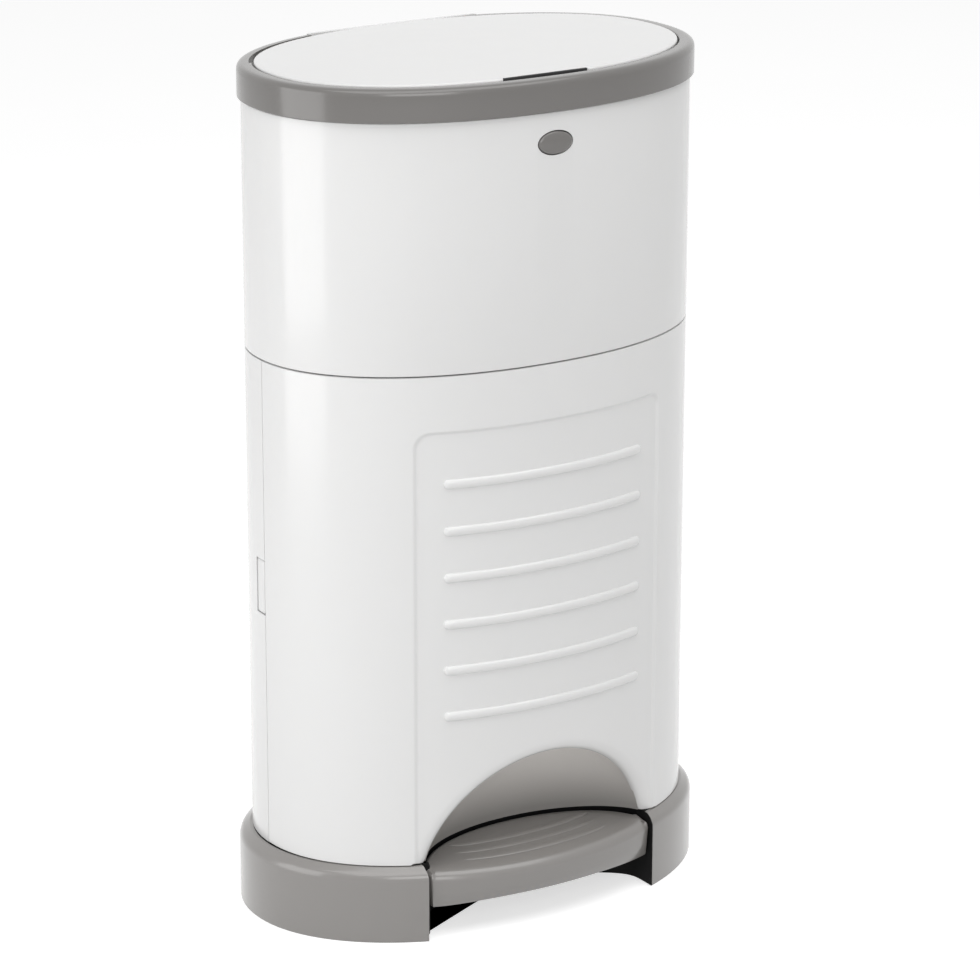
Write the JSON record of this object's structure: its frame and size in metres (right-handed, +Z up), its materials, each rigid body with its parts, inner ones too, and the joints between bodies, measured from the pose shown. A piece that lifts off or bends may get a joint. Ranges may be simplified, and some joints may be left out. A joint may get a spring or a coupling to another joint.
{
  "type": "nappy bin",
  "caption": "Oval free-standing nappy bin with pedal, flush rear-hinged lid, trap flaps under the lid, lock button, ribbed front door and toe niche.",
  "frame": {"origin": "on the floor under the middle of the bin's oval outline", "axes": "+Z up, +X to the right seen from the front, -Y towards the person pressing the pedal"},
  "size_m": [0.298, 0.1974, 0.515],
  "materials": {
    "white_shell": "white polypropylene with a soft gloss",
    "white_inner": "white polypropylene, unpolished inside",
    "grey_shell": "warm mid grey polypropylene with a soft gloss",
    "grey_part": "warm grey plastic, satin",
    "dark_part": "dark grey plastic, matt",
    "soft_rubber": "matt black rubber",
    "steel": "bright zinc-plated steel",
    "film": "thin pleated bag film"
  },
  "bodies": {
    "casing": {"base": "grey_shell", "base_plate": "dark_part", "rubber_feet": "soft_rubber", "base_screws": "steel", "foot_well": "dark_part", "toe_niche": "grey_shell", "rear_shell": "white_shell", "rod_cover": "white_inner", "upper_shell": "white_shell", "divider": "white_inner", "rim_ring": "grey_shell", "funnel": "white_inner", "flap_housing": "dark_part", "film_cassette": "grey_part", "film_pack": "film", "hinge_bracket": "grey_part", "lid_hinge_pin": "steel", "lock_guide": "dark_part", "lock_spring": "steel", "latch_guide": "dark_part", "latch_spring": "steel", "pedal_pin": "steel", "pedal_spring": "steel", "door_hinge_pins": "steel"},
    "lid": {"lid": "white_shell", "lid_liner": "white_inner", "lid_seal": "soft_rubber", "lid_crank": "grey_part", "lid_catch": "grey_part"},
    "front_flap": {"flap_front": "grey_part", "flap_front_shaft": "dark_part", "flap_front_seal": "soft_rubber"},
    "rear_flap": {"flap_rear": "grey_part", "flap_rear_shaft": "dark_part", "flap_rear_seal": "soft_rubber"},
    "lifter": {"push_rod": "dark_part", "lift_yoke": "dark_part", "lid_link": "dark_part"},
    "pedal": {"pedal": "grey_shell", "pedal_lever": "dark_part", "pedal_grip": "grey_part"},
    "door": {"door": "white_shell", "door_catch": "grey_part", "cutter_holder": "grey_part", "cutter_blade": "steel"},
    "lock": {"lock_button": "grey_shell", "lock_hook": "grey_part"},
    "latch": {"door_latch": "white_shell"}
  },
  "joints": [
    {"name": "lid_hinge", "type": "hinge", "parent": "casing", "child": "lid", "pos_m": [0, 0.086, 0.503], "axis": [-1, 0, 0], "range_deg": [0, 80]},
    {"name": "front_flap_hinge", "type": "hinge", "parent": "casing", "child": "front_flap", "pos_m": [0, -0.05, 0.4], "axis": [-1, 0, 0], "range_deg": [0, 80.5]},
    {"name": "rear_flap_hinge", "type": "hinge", "parent": "casing", "child": "rear_flap", "pos_m": [0, 0.05, 0.4], "axis": [1, 0, 0], "range_deg": [0, 80.5]},
    {"name": "rod_lift", "type": "slide", "parent": "casing", "child": "lifter", "axis": [0, 0, 1], "range_m": [0, 0.0199]},
    {"name": "pedal_press", "type": "hinge", "parent": "casing", "child": "pedal", "pos_m": [0, -0.02, 0.027], "axis": [1, 0, 0], "range_deg": [0, 11.25]},
    {"name": "door_swing", "type": "hinge", "parent": "casing", "child": "door", "pos_m": [0.1365, -0.0036, 0.2], "axis": [0, 0, 1], "range_deg": [0, 90]},
    {"name": "lock_press", "type": "slide", "parent": "casing", "child": "lock", "axis": [0, 1, 0], "range_m": [0, 0.003], "stiffness_N_per_m": 300, "deforming": ["lock_spring"]},
    {"name": "latch_press", "type": "slide", "parent": "casing", "child": "latch", "axis": [1, 0, 0], "range_m": [0, 0.0025], "stiffness_N_per_m": 300, "deforming": ["latch_spring"]}
  ],
  "couplings": [
    {"joint": "front_flap_hinge", "follows": "lid_hinge", "ratio": 1},
    {"joint": "rear_flap_hinge", "follows": "lid_hinge", "ratio": 1},
    {"joint": "rod_lift", "follows": "lid_hinge", "m_per_rad": 0.014181},
    {"joint": "pedal_press", "follows": "lid_hinge", "ratio": 0.14}
  ]
}
